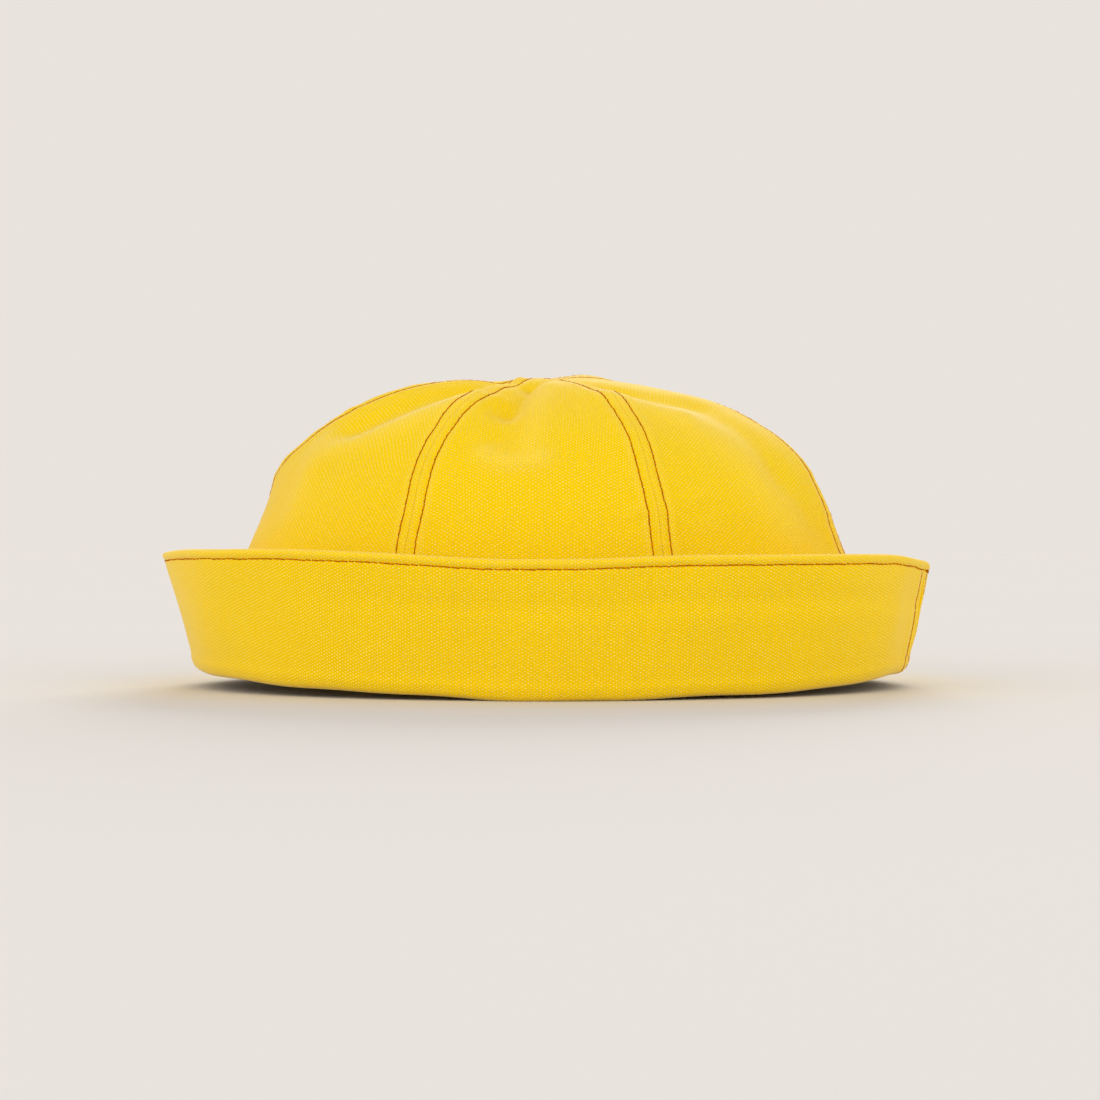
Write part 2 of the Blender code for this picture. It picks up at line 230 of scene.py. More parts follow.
EDGE_STEPS = (
    0.02, 0.12, 0.3, 0.55, 0.9, 1.4, 1.9, 2.3, 2.6, 2.9, 3.3, 3.9, 4.7, 5.6, 6.2, 6.6, 7.2,
)
EDGE_SHARE = 0.4  # the most of a width that one edge's steps take
MIDDLE_COLUMNS = 20
CROWN_ROW_STEP = 1.0
TIP_GAP = 0.25  # the six tips stop this far from the apex
GRAIN_REACH = 4.0  # least radius that turns the grain, near the apex
PANEL_SIDES = [(index, side) for index in range(len(SEAMS)) for side in (0, 1)]
THROUGH_SEAMS = (1, 4)  # sewn last, in one run across the apex

# Where cloth is rubbed pale beside a seam: the ditch's lips and the rows' ridges.
WearLine = namedtuple("WearLine", "place width amount")
WEAR_LINES = [WearLine(0.8, 0.5, 0.4), WearLine(4.0, 0.9, 0.5)]
FOLD_FULL_WEAR_AND_SHEEN = 1.6  # a ridge this high is painted as pale as a rubbed edge: wear and painted sheen
# how much paler the rim's rolled edge and the rows just below it are painted
RIM_PALENESS = 0.3
INSIDE_WEAR_AND_SHEEN = 0.4  # in parts of the shown skin's wear and painted sheen

# ---- Rim and brim (millimetres)

RIM_ROW = 2.6  # from the rim's edge to its row
RIM_PUCKER_REACH = 3.5
RIM_TOP = 0.05  # the rolled edge stops this far below the rim's line
RIM_ROLL = 0.95  # radius of each ply's rolled edge
RIM_ROLL_END = 125.0  # degrees each ply turns before the ditch between them
RIM_DITCH, RIM_TUCK = 0.75, 0.1  # depth of that ditch, and of its cloth
RIM_BULGE = Crease(0, 0, 1.1, 0.9, 0.25)
HIDDEN_RELIEF = 0.3  # part of the relief that shows on a ply's other skin
BRIM_STEP = 1.35  # between sections round the brim
FINE_STATIONS = 1441
BRIM_TURN = 0.216  # how far the grain turns for each turn of the brim
BRIM_STRAIGHT = 2.0  # azimuth where the grain stands upright

# Rows up the wall: even ones up to UPPER_WALL below the rim, then these.
WALL_ROWS = 15
UPPER_WALL = 8.0
BELOW_RIM = (7.2, 6.4, 5.6, 4.9, 4.3, 3.8, 3.4, 3.05, 2.75, 2.5, 2.25, 1.95, 1.6, 1.3, 1.0)
ROLL_ROWS = 8
PALE_RIM_ROWS = ROLL_ROWS + 3
FOLD_ROWS = 40
BEND_ROWS = 12

RIM_ROW_BETWEEN = (2.75, 2.5)  # the wall's rows on both sides of the rim's row
TACK_BETWEEN = (3.05, 2.25)  # and of the two sewn back over it
TACK_START = 0.8  # from the brim's seam
TACK_LENGTH = 5.5
TACK_PARTS = (0.25, 0.8)
TACK_RISE = 0.12
SEAM_ROWS_FROM, SEAM_ROWS_TO = 3, 3.05  # first row of the fold, last below the rim

# ---- Thread (millimetres)

THREAD_RADIUS = 0.21
THREAD_END = 0.72  # part of it at a stitch's ends
THREAD_SIDES, THREAD_RINGS = 7, 8
THREAD_ARCH = 0.6  # the lower, the fuller a stitch's arch
THREAD_RISE = 0.07  # middle of a stitch above the cloth
THREAD_SINK = (0.0, 0.10)  # its ends below it, between these
RIM_THREAD_SINK = (0.04, 0.20)
THREAD_LEAN = 0.07  # each stitch lies a little across its row
LEAN_CHANCE, RISE_CHANCE = 0.05, 0.02
PITCH_CHANCE = 0.05  # in parts of a stitch
THREAD_SEED = 100

# the painted tone of the shaded ends, and the thread's own tone
THREAD_TONES = (0.30, 0.045, 0.0, 1), (0.80, 0.27, 0.0, 1)
THREAD_ROUGHNESS = 0.8
THREAD_TWIST = 5.0  # turns in a stitch
THREAD_RELIEF = 0.05 * MM
TWIST_BUMP = 0.8
TWIST_SHADE = 0.3  # painted shade between its turns
STITCH_CHANCE = 0.45  # one stitch is darker than another
END_SHADE = 1.5  # how far a stitch's painted dark ends reach

# ---- Canvas

# bright is the tone of the floats' tops: their yarn's own tone and painted sheen
Weave = namedtuple("Weave", "across up deep bright broad")
CROWN_WEAVE = Weave(
    across=0.89 * MM, up=0.57 * MM,
    deep=(0.895, 0.608, 0.0, 1), bright=(0.99, 0.80, 0.18, 1), broad=(0.92, 0.66, 0.004, 1),
)
# The brim's tones are painted lighter than the crown's: painted light, for the brim's wall that
# gets less light.
BRIM_WEAVE = Weave(
    across=0.865 * MM, up=0.50 * MM,
    deep=(0.935, 0.612, 0.0, 1), bright=(1.0, 0.88, 0.22, 1), broad=(0.95, 0.68, 0.004, 1),
)
WEAVE_RELIEF = 0.13 * MM
YARN_SWAY = 0.9  # how far yarns stray, in yarns
SWAY_SCALE, SWAY_UP_SCALE = 400.0, 450.0
SWAY_UP_STRETCH = (1.1, 0.9)
FLOAT_FULLNESS = 0.55  # the lower, the fuller each float
FLOAT_ROUNDING = 0.9  # the higher, the narrower each float's ends
WEFT_HEIGHT = 0.35  # weft floats, in parts of the warp's
YARN_NOISE = 0.9  # thick and thin yarns: change from yarn to yarn
YARN_LENGTH = 0.06  # and along a yarn
WARP_CHANCE = 1.3
THIN_YARN = -0.25  # moves all yarns toward thin
YARN_HEIGHT = 0.15  # height that the thinnest yarns keep
YARN_BRIGHT = 0.1  # and brightness
CREST_LEAST, CREST_CHANCE = 0.65, 0.7
BROAD_SCALE, BROAD_DETAIL, BROAD_ROUGHNESS, BROAD_SHARE = 38.0, 3.0, 0.6, 0.25
# pale tone of rubbed edges and of the painted sheen on the crown's ridges
WORN_AND_SHEEN_YELLOW = (0.97, 0.79, 0.20, 1)
WEAR_AND_SHEEN_SHARE = 0.34
WEAR_AND_SHEEN_BASE = 0.35  # wear and painted sheen between the floats, where they count 1
ROUGHNESS = 0.95
CREST_GLOSS = 0.12
FUZZ = 0.5  # the cloth's sheen where it turns away
FUZZ_EDGE = 1.7  # how far toward its edges the sheen keeps
FUZZ_WEAR_AND_SHEEN = 0.3  # more of it on rubbed edges and on ridges painted pale, less in hollows
FUZZ_ROUGHNESS = 0.5
FUZZ_TINT = (1.0, 0.96, 0.88, 1.0)
SHARP_ANGLE = 60.0

# ---- Studio

FLOOR_RADII = (0.0, 0.5, 2.0, 20.0)
FLOOR_CORNERS = 97
FLOOR_TONES = (0.703, 0.686, 0.677, 1), (0.688, 0.670, 0.661, 1)
FLOOR_MOTTLE = 3.0
FLOOR_ROUGHNESS = 0.9

# Soft lights by where they stand: azimuth and degrees above the floor. strength is the
# light on a surface that faces the lamp, 1 being the world's.
Lamp = namedtuple("Lamp", "name azimuth height spread strength tone")
LAMPS = [
    Lamp("rear_key", 172.0, 24.0, 30.0, 0.60, (0.95, 1.0, 1.0)),
    Lamp("left_fill", -50.0, 7.0, 60.0, 0.36, (1.0, 0.985, 0.96)),
    Lamp("right_fill", 40.0, 7.0, 60.0, 0.31, (1.0, 0.985, 0.96)),
]
WORLD_TONE = (0.815, 0.768, 0.723, 1.0)

# The photograph's camera: level, at the height of the brim's rim.
CAMERA_PLACE = (0.001, -0.750, 0.043)
IMAGE_SIDE = 1100.0
FOCAL_PIXELS = 2344.0
CLIP_START, CLIP_END = 0.01, 20.0


# ---- Curves and directions

def smooth(keys, values, at):
    """A smooth curve through the points (keys, values)."""
    keys, values, at = (np.asarray(item, float) for item in (keys, values, at))
    slopes = np.gradient(values, keys)
    start = np.clip(np.searchsorted(keys, at, side="right") - 1, 0, len(keys) - 2)
    step = keys[start + 1] - keys[start]
    u = np.clip((at - keys[start]) / step, 0.0, 1.0)
    low, high = values[start], values[start + 1]
    rise = low + (high - low) * u * u * (3 - 2 * u)
    bend = (1 - u) * slopes[start] - u * slopes[start + 1]
    return rise + u * (1 - u) * step * bend


def column(table, name):
    """One named column of a table."""
    return [getattr(row, name) for row in table]


def steps(points, axis=0):
    """Lengths of the steps between neighbouring points."""
    return np.linalg.norm(np.diff(points, axis=axis), axis=-1)


def running(lengths):
    """Distance along a path to every point, from its steps."""
    return join([[0.0], np.cumsum(lengths)])


def together(*parts):
    """The parts of vectors as whole vectors."""
    return np.stack(parts, axis=-1)


def unit(vectors):
    """The vectors at length 1."""
    return vectors / np.linalg.norm(vectors, axis=-1, keepdims=True)


def direction(azimuth):
    """Level unit vectors along the azimuths."""
    angle = np.radians(azimuth)
    return together(np.sin(angle), -np.cos(angle), np.zeros_like(angle))


def wrapped(azimuth):
    """The same azimuths from -180 up to 180."""
    return (azimuth + 180.0) % 360.0 - 180.0


def brim_value(name, azimuth):
    """A column of the brim's table at any azimuth."""
    keys = column(BRIM_TABLE, "azimuth")
    values = column(BRIM_TABLE, name)
    keys = [keys[-2] - 360, keys[-1] - 360] + keys + [keys[0] + 360, keys[1] + 360]
    values = values[-2:] + values + values[:2]
    return np.maximum(smooth(keys, values, wrapped(np.asarray(azimuth, float))), 0.0)


def oval_reach(azimuth, half_x, half_y):
    """Reach of an oval from its centre along the azimuths."""
    angle = np.radians(azimuth)
    return 1.0 / np.hypot(np.sin(angle) / half_x, np.cos(angle) / half_y)


# ---- Unevenness

def uneven(points, ripple, seed=0):
    """Smooth chance height at points; seed tells ripples of one kind apart."""
    chance = np.random.default_rng(ripple.seed + seed)
    points = np.asarray(points, float)
    size = points.shape[-1]
    total = np.zeros(points.shape[:-1])
    for _ in range(WAVE_COUNT):
        length = ripple.shortest * (ripple.longest / ripple.shortest) ** chance.random()
        way = chance.normal(size=size)
        way /= np.linalg.norm(way)
        total += np.sin(points @ way * (2 * np.pi / length) + chance.uniform(0, 2 * np.pi))
    return ripple.height * (total / np.sqrt(WAVE_COUNT))


def uneven_line(along, ripple, seed=0):
    """Smooth chance height along a line."""
    return uneven(np.asarray(along, float)[..., None], ripple, seed)


def bell(distance, width):
    """A soft bump of height 1."""
    return np.exp(-(distance / width) ** 2)


def step_down(distance, place, width):
    """1 before a place and 0 past it, with a soft step."""
    return 0.5 - 0.5 * np.tanh((distance - place) / width)


# ---- Crown surface

def ring_distances():
    """Distance up the wall to each ring, on average."""
    reach = [np.mean([row.left, row.right, row.front, row.back]) for row in CROWN_RINGS]
    return running(np.hypot(np.diff(reach), np.diff(column(CROWN_RINGS, "height"))))


RING_ALONG = ring_distances()
CROWN_LENGTH = RING_ALONG[-1]


def seam_azimuth(index, along):
    """Azimuth of a crown seam at a distance up the wall."""
    turn, index = divmod(index, len(SEAMS))
    return smooth(SEAM_LEVELS, SEAMS[index].azimuths, along) + 360.0 * turn


def ring_values(along):
    """The crown ring's columns at distances up the wall."""
    return Ring(*(smooth(RING_ALONG, column(CROWN_RINGS, name), along) for name in Ring._fields))


def oval_point(azimuth, along):
    """The crown's round form, before its panels pull straight."""
    ring = ring_values(along)
    centre_x, centre_y = (ring.right - ring.left) / 2, (ring.back - ring.front) / 2
    centre = together(centre_x, centre_y, ring.height)
    half_x = np.maximum((ring.left + ring.right) / 2, LEAST_REACH)
    half_y = np.maximum((ring.front + ring.back) / 2, LEAST_REACH)
    point = centre + oval_reach(azimuth, half_x, half_y)[..., None] * direction(azimuth)
    low_down = np.clip(1.0 - along / CROWN_LENGTH, 0.0, 1.0)
    point[..., 2] += brim_value("lift", azimuth) * low_down
    return point


def outward(azimuth, along):
    """Unit vectors that point straight out of the crown's round form."""
    along = np.clip(along, 0.0, CROWN_LENGTH - 2 * NORMAL_STEP)
    around = oval_point(azimuth + NORMAL_STEP, along) - oval_point(azimuth - NORMAL_STEP, along)
    upwards = oval_point(azimuth, along + NORMAL_STEP) - oval_point(azimuth, along)
    return unit(np.cross(around, upwards))


def distance_to_line(points, line):
    """Least distance from each point to a line of joined segments."""
    least = np.full(points.shape[:-1], np.inf)
    for start, end in zip(line[:-1], line[1:]):
        run = end - start
        part = np.clip((points - start) @ run / (run @ run), 0.0, 1.0)
        nearest = start + part[..., None] * run
        least = np.minimum(least, np.linalg.norm(points - nearest, axis=-1))
    return least


def fold_height(points):
    """How far the dents and ridges move points of the round form."""
    height = np.zeros(points.shape[:-1])
    part = np.linspace(0.0, 1.0, FOLD_POINTS)
    for fold in CROWN_FOLDS:
        azimuths = fold.azimuth + (fold.to_azimuth - fold.azimuth) * part
        bow = 4 * fold.bend * part * (1 - part)
        alongs = fold.along + (fold.to_along - fold.along) * part + bow
        away = distance_to_line(points, oval_point(azimuths, alongs))
        height += fold.depth * bell(away, fold.width)
    return height


def panel_chord(index, along):
    """A panel's point at its first seam, and the straight way to its last one."""
    first, last = (oval_point(seam_azimuth(index + side, along), along) for side in (0, 1))
    return first, last - first


def panel_width(index, along):
    """Straight distance between a panel's two seams."""
    return np.linalg.norm(panel_chord(index, along)[1], axis=-1)


def panel_azimuth(index, across, along):
    """Azimuth of places on a panel; across runs from 0 at one seam to 1."""
    first, last = seam_azimuth(index, along), seam_azimuth(index + 1, along)
    return first + (last - first) * across


def panel_point(index, across, along):
    """A panel's smooth surface and its normals."""
    azimuth = panel_azimuth(index, across, along)
    plain = oval_point(azimuth, along)
    first, way = panel_chord(index, along)
    chord = first + way * across[..., None]
    pull = ring_values(along).pull[..., None]
    normal = outward(azimuth, along)
    height = fold_height(plain) + uneven(plain, CLOTH_WAVES)
    return plain + (chord - plain) * pull + normal * height[..., None], normal


# ---- Seams

def roll_in(gap):
    """Depth of the cloth's turn into a seam's ditch."""
    part = np.clip(1.0 - gap / SEAM_ROLL, 0.0, 1.0)
    return SEAM_DEPTH * (1.0 - np.sqrt(1.0 - part ** 2))


def seam_relief(gap, along, seam):
    """Height of the outside beside a seam: ditch, welt, row and ripples."""
    streaks = uneven(together(gap * STREAKS_ACROSS, along), STREAKS, seam)
    return (
        WELT * step_down(gap, ALLOWANCE_WIDTH, WELT_EDGE)
        + streaks * bell(gap, ROW_OFFSET)
        - GROOVE * bell(gap - ROW_OFFSET, GROOVE_WIDTH)
        + uneven_line(along, PUCKERS, seam) * bell(gap, PUCKER_REACH)
        - roll_in(gap)
    )


def inner_relief(gap, along, side):
    """Height of the pressed allowance inside, beside a seam."""
    edge = ALLOWANCE_WIDTH - ALLOWANCE_TRIM + uneven_line(along, ALLOWANCE_RAGS, side)
    return (
        ALLOWANCE * step_down(gap, edge, ALLOWANCE_EDGE)
        - INNER_GROOVE * bell(gap - ROW_OFFSET, GROOVE_WIDTH)
        - INNER_DITCH * roll_in(gap)
    )


def across_steps(width):
    """Distances across a panel, close together beside each seam."""
    edge = np.array(EDGE_STEPS) * np.minimum(1.0, EDGE_SHARE * width / EDGE_STEPS[-1])
    return between_edges(edge, width, MIDDLE_COLUMNS)


def between_edges(edge, width, count):
    """Close steps at both edges of a width and even ones between them."""
    middle = np.linspace(edge[-1], width - edge[-1], count + 1)[1:-1]
    return join([edge, middle, width - edge[::-1]])


def edge_wear(*gaps):
    """Where the cloth beside its seams is rubbed pale."""
    wear_and_sheen = np.zeros(gaps[0].shape)
    for gap in gaps:
        for line in WEAR_LINES:
            wear_and_sheen += line.amount * bell(gap - line.place, line.width)
    return np.clip(wear_and_sheen, 0.0, 1.0)


# ---- Crown panels

def crown_skin(index, across, along):
    """Outside of a panel with its seams' relief, its inside and its normals."""
    width = panel_width(index, along)
    base, normal = panel_point(index, across, along)
    relief = np.zeros(across.shape)
    lining = np.zeros(across.shape)
    for side, part in ((0, across), (1, 1.0 - across)):
        seam = (index + side) % len(SEAMS)
        gap = part * width
        relief += seam_relief(gap, along, seam)
        lining += inner_relief(gap, along, 2 * seam + side)
    lining = np.minimum(lining, ALLOWANCE)
    outside = base + normal * relief[..., None]
    inside = base - normal * (CANVAS + lining)[..., None]
    return outside, inside, normal


def crown_grid(index):
    """across and along of every vertex of a panel."""
    count = int(round(CROWN_LENGTH / CROWN_ROW_STEP)) + 1
    alongs = np.linspace(0.0, CROWN_LENGTH - TIP_GAP, count)
    across = np.array([across_steps(width) / width for width in panel_width(index, alongs)])
    return across, np.repeat(alongs[:, None], across.shape[1], axis=1)


def grain(outside, along):
    """Flat coordinates of a panel: across from its middle line and up along it."""
    climb = np.cumsum(steps(outside, axis=1), axis=1)
    run = join([np.zeros((len(outside), 1)), climb], axis=1)
    run -= run[:, -1:] / 2
    ring = ring_values(along[:, 0])
    reach = np.maximum((ring.left + ring.right + ring.front + ring.back) / 4, GRAIN_REACH)
    turn = -np.gradient(reach, along[:, 0]) / reach
    return together(run, along + 0.5 * run ** 2 * turn[:, None])


def fold_wear_and_sheen(index, across, along):
    """Wear and painted sheen of ridges, above 0, and hollows, below 0: ridges are painted paler,
    as rubbed cloth and as sheen.
    """
    height = fold_height(oval_point(panel_azimuth(index, across, along), along))
    return np.clip(height / FOLD_FULL_WEAR_AND_SHEEN, -1.0, 1.0)


def crown_panel(index, material):
    """One fine panel of the crown."""
    across, along = crown_grid(index)
    outside, inside, _ = crown_skin(index, across, along)
    width = panel_width(index, along)
    # ridges are painted paler here: partly wear, partly painted sheen
    wear_and_sheen = edge_wear(across * width, (1.0 - across) * width) + fold_wear_and_sheen(index, across, along)
    node = SEAMS[index].panel
    cloth = cloth_object(node + "_cloth", outside, inside, grain(outside, along), wear_and_sheen, material)
    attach(cloth, BODY)
    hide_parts(node)
    return cloth


# ---- Brim

def brim_frame(azimuth):
    """Start of the brim's wall on the surface, and the way out from it."""
    ways = direction(azimuth)
    half_x = np.where(ways[..., 0] > 0, FOLD_OUTLINE.right, FOLD_OUTLINE.left)
    half_y = np.where(ways[..., 1] < 0, FOLD_OUTLINE.front, FOLD_OUTLINE.back)
    start = ways * oval_reach(azimuth, half_x, half_y)[..., None]
    out = start / together(half_x, half_y, np.ones_like(half_x)) ** 2
    return start, unit(out)


def brim_stations():
    """Azimuths round the brim from its seam, and how far each stands from it both ways."""
    fine = np.linspace(0.0, 360.0, FINE_STATIONS) + BRIM_SEAM_AZIMUTH
    run = running(steps(brim_frame(fine)[0]))
    edge = np.array(EDGE_STEPS)
    count = int(round((run[-1] - 2 * edge[-1]) / BRIM_STEP))
    places = between_edges(edge, run[-1], count)
    return np.interp(places, run, fine), places, run[-1] - places


def section_curve(points, stop, count):
    """A smooth curve through a section's points, evenly spaced, up to one of them."""
    points = np.array(points)
    run = running(steps(points))
    at = np.linspace(0.0, run[stop], count)
    return together(*(smooth(run, values, at) for values in points.T))


class Wall:
    """The brim's straight wall at each station."""

    def __init__(self, azimuth):
        rise = brim_value("rim", azimuth) - brim_value("lift", azimuth) - FOLD_HEIGHT
        flare = brim_value("flare", azimuth)
        self.length = np.hypot(flare, rise)
        self.up = together(flare, rise) / self.length[:, None]
        self.out = together(self.up[:, 1], -self.up[:, 0])

    def point(self, offset, down):
        """(across, up) at an offset out of the wall and a distance below its rim."""
        base = np.array([0.0, FOLD_HEIGHT])
        climb = self.up * (self.length - down)[..., None]
        return base + climb + self.out * np.asarray(offset)[..., None]


def climbed(rows):
    """Distance up each section to its rows."""
    return np.cumsum(np.linalg.norm(np.gradient(rows, axis=0), axis=-1), axis=0)


def section_normals(rows):
    """Unit vectors square to each section, on the side that faces out."""
    along = np.gradient(rows, axis=0)
    return unit(together(along[..., 1], -along[..., 0]))


def place_sections(rows, azimuth):
    """Stand the (across, up) sections at their places round the brim."""
    start, out = brim_frame(azimuth)
    points = start + rows[..., :1] * out
    points[..., 2] = brim_value("lift", azimuth) + rows[..., 1]
    return points


def wall_downs(length, lowest):
    """Distances below the rim of the wall's rows, from a lowest one up."""
    part = np.linspace(0.0, 1.0, WALL_ROWS)[:, None]
    lower = lowest * (1 - part) + UPPER_WALL * part
    upper = np.repeat(np.array(BELOW_RIM)[:, None], len(length), axis=1)
    return join([lower, upper])


def brim_waves(places, rise):
    """Broad unevenness of both plies, by distance round and up the brim."""
    spots = together(np.broadcast_to(places, rise.shape), rise)
    return uneven(spots, BRIM_WAVES)


def wall_relief(azimuth, places, down, side):
    """How far the wall of a ply stands out of its straight form; side is 1 or -1."""
    puckers = uneven_line(np.broadcast_to(places, down.shape), RIM_PUCKERS)
    relief = puckers * bell(down - RIM_ROW, RIM_PUCKER_REACH)
    relief += side * RIM_BULGE.depth * bell(down - RIM_BULGE.down, RIM_BULGE.width)
    relief -= side * GROOVE * bell(down - RIM_ROW, GROOVE_WIDTH)
    for crease in BRIM_CREASES if side > 0 else ():
        reach = bell(wrapped(azimuth - crease.azimuth), crease.spread)
        relief += crease.depth * reach * bell(down - crease.down, crease.width)
    return relief


def rim_rows(wall, shown, hidden, side):
    """A ply's rolled edge, over the top to the ditch between both."""
    angle = np.radians(np.linspace(0.0, RIM_ROLL_END, ROLL_ROWS + 1)[1:])[:, None]
    offset = shown - side * RIM_ROLL * (1 - np.cos(angle))
    down = RIM_TOP + RIM_ROLL * (1 - np.sin(angle)) + 0 * offset
    part = np.linspace(0.0, 1.0, ROLL_ROWS + 1)[1:, None]
    tucked = hidden * (1 - part) + (offset[-1] + side * RIM_TUCK) * part
    tucked_down = BELOW_RIM[-1] * (1 - part) + RIM_DITCH * part + 0 * tucked
    return wall.point(offset, down), wall.point(tucked, tucked_down)


def outer_fold(azimuth):
    """Rows of the outer ply's fold at the bottom, below its wall."""
    section = FOLD_SECTION + [FOLD_LEADS_TO]
    curve = section_curve(section, len(FOLD_SECTION) - 1, FOLD_ROWS + 1)
    return np.repeat(curve[:-1, None, :], len(azimuth), axis=1)


def facing_bend(wall, inset, lowest):
    """Rows of the facing's bend at the bottom, below its wall."""
    offset = np.full(len(wall.length), inset)
    bend, above = wall.point(offset, lowest), wall.point(offset, lowest - FACING_LEADS_TO)
    curves = [
        section_curve(FACING_SECTION + [low, high], len(FACING_SECTION), BEND_ROWS + 1)[:-1]
        for low, high in zip(bend, above)
    ]
    return np.stack(curves, axis=1)


def brim_sections(azimuth, places, side):
    """Shown and hidden skin of one ply as (across, up) rows, from the bottom up."""
    wall = Wall(azimuth)
    outer = side > 0
    inset = 0.0 if outer else -(CANVAS + GAP)
    lowest = wall.length * (1.0 if outer else 1.0 - FACING_BEND)
    downs = wall_downs(wall.length, lowest)
    broad = brim_waves(places, wall.length - downs)
    relief = wall_relief(azimuth, places, downs, side) + broad
    shown = inset + relief - (0.0 if outer else CANVAS)
    hidden = inset + HIDDEN_RELIEF * relief + (1 - HIDDEN_RELIEF) * broad
    hidden = hidden - (CANVAS if outer else 0.0)
    shown_rim, hidden_rim = rim_rows(wall, shown[-1], hidden[-1], side)

    fold = outer_fold(azimuth) if outer else facing_bend(wall, inset, lowest)
    run = climbed(fold)
    broad_fold = brim_waves(places, (wall.length - lowest) + run - run[-1:])
    normal = section_normals(fold)
    fold_out = fold + normal * broad_fold[..., None]
    fold_in = fold_out - normal * CANVAS
    fold_shown, fold_hidden = (fold_out, fold_in) if outer else (fold_in, fold_out)
    return (
        join([fold_shown, wall.point(shown, downs), shown_rim]),
        join([fold_hidden, wall.point(hidden, downs), hidden_rim]),
    )


def brim_grain(points, azimuth):
    """Flat coordinates of the brim: a cone's development, upright on the camera's side."""
    middle = len(points) // 2
    path = steps(points[middle])
    out = brim_frame(azimuth)[1]
    ways = np.unwrap(np.arctan2(out[:, 0], -out[:, 1])) - 2 * np.pi
    turn = -BRIM_TURN * (ways - np.radians(BRIM_STRAIGHT))
    between = (turn[1:] + turn[:-1]) / 2
    path_u, path_v = running(path * np.cos(between)), running(path * np.sin(between))
    rise = join([np.zeros((1, len(azimuth))), np.cumsum(steps(points), axis=0)])
    rise -= rise[middle]
    return together(path_u - rise * np.sin(turn), path_v + rise * np.cos(turn))


Ply = namedtuple("Ply", "shown normal places")


def brim_ply(name, node, side, material):
    """One fine ply of the brim; side is 1 for the outer ply and -1 for the facing."""
    azimuth, places, gaps = brim_stations()
    shown_rows, hidden_rows = brim_sections(azimuth, places, side)
    shown, hidden = place_sections(shown_rows, azimuth), place_sections(hidden_rows, azimuth)
    normal = side * unit(np.cross(np.gradient(shown, axis=1), np.gradient(shown, axis=0)))
    rise = climbed(shown_rows)
    sides = [np.broadcast_to(item, rise.shape) for item in (places, gaps)]
    relief = sum(seam_relief(gap, rise, seam) for gap, seam in zip(sides, BRIM_SEAM_SIDES))
    shown = shown + normal * relief[..., None]
    shown[..., 2] = np.maximum(shown[..., 2], 0.0)
    flat = brim_grain(shown, azimuth)
    wear_and_sheen = edge_wear(*sides)
    # the rim's top rows are painted paler
    wear_and_sheen[-PALE_RIM_ROWS:] = RIM_PALENESS
    skins = (shown, hidden, flat, wear_and_sheen)
    turned = skins if side > 0 else tuple(item[:, ::-1] for item in skins)
    cloth = cloth_object(name, *turned, material)
    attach(cloth, BODY)
    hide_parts(node)
    return Ply(shown, normal, places)


# ---- Meshes

def grid_quads(rows, columns, first=0, turned=False):
    """Corner numbers of the quads of a grid of vertices."""
    corner = first + np.arange(rows * columns).reshape(rows, columns)
    corners = (corner[:-1, :-1], corner[:-1, 1:], corner[1:, 1:], corner[1:, :-1])
    quads = together(*corners).reshape(-1, 4)
    return quads[:, ::-1] if turned else quads


def border(rows, columns):
    """Vertex numbers round the border of a grid, in order."""
    corner = np.arange(rows * columns).reshape(rows, columns)
    return join([corner[0], corner[1:, -1], corner[-1, -2::-1], corner[-2:0:-1, 0]])


def placed(name, data):
    """A new object in the scene."""
    made = bpy.data.objects.new(name, data)
    bpy.context.scene.collection.objects.link(made)
    return made


def mesh_object(name, points, quads, uv, material, floats=()):
    """A smooth mesh of quads, with a UV map in metres and named float attributes."""
    mesh = bpy.data.meshes.new(name)
    mesh.from_pydata((points * MM).tolist(), [], quads.tolist())
    layer = mesh.uv_layers.new(name="Grain")
    layer.uv.foreach_set("vector", (uv[quads.ravel()]).astype(np.float32).ravel())
    for label, values in floats:
        attribute = mesh.attributes.new(label, "FLOAT", "POINT")
        attribute.data.foreach_set("value", values.astype(np.float32))
    mesh.validate()
    mesh.shade_smooth()
    mesh.materials.append(material)
    return placed(name, mesh)


def cloth_object(name, outside, inside, flat, wear_and_sheen, material):
    """A closed sheet of cloth between its two skins."""
    rows, columns = outside.shape[:2]
    count = rows * columns
    rim = border(rows, columns)
    following = np.roll(rim, -1)
    sides = together(following, rim, rim + count, following + count)
    quads = join([
        grid_quads(rows, columns),
        grid_quads(rows, columns, first=count, turned=True),
        sides,
    ])
    points = join([outside.reshape(-1, 3), inside.reshape(-1, 3)])
    uv = join([flat.reshape(-1, 2), flat.reshape(-1, 2)]) * MM
    paled_by_wear_and_sheen = join([wear_and_sheen.ravel(), INSIDE_WEAR_AND_SHEEN * wear_and_sheen.ravel()])
    made = mesh_object(name, points, quads, uv, material, [("wear_and_sheen", paled_by_wear_and_sheen)])
    made.data.set_sharp_from_angle(angle=np.radians(SHARP_ANGLE))
    return made


# ---- Stitches

def resample(path, normal, at):
    """Points and normals of a path at distances along it."""
    run = running(steps(path))
    points, normals = (
        together(*(np.interp(at, run, values) for values in item.T))
        for item in (path, normal)
    )
    return points, unit(normals)


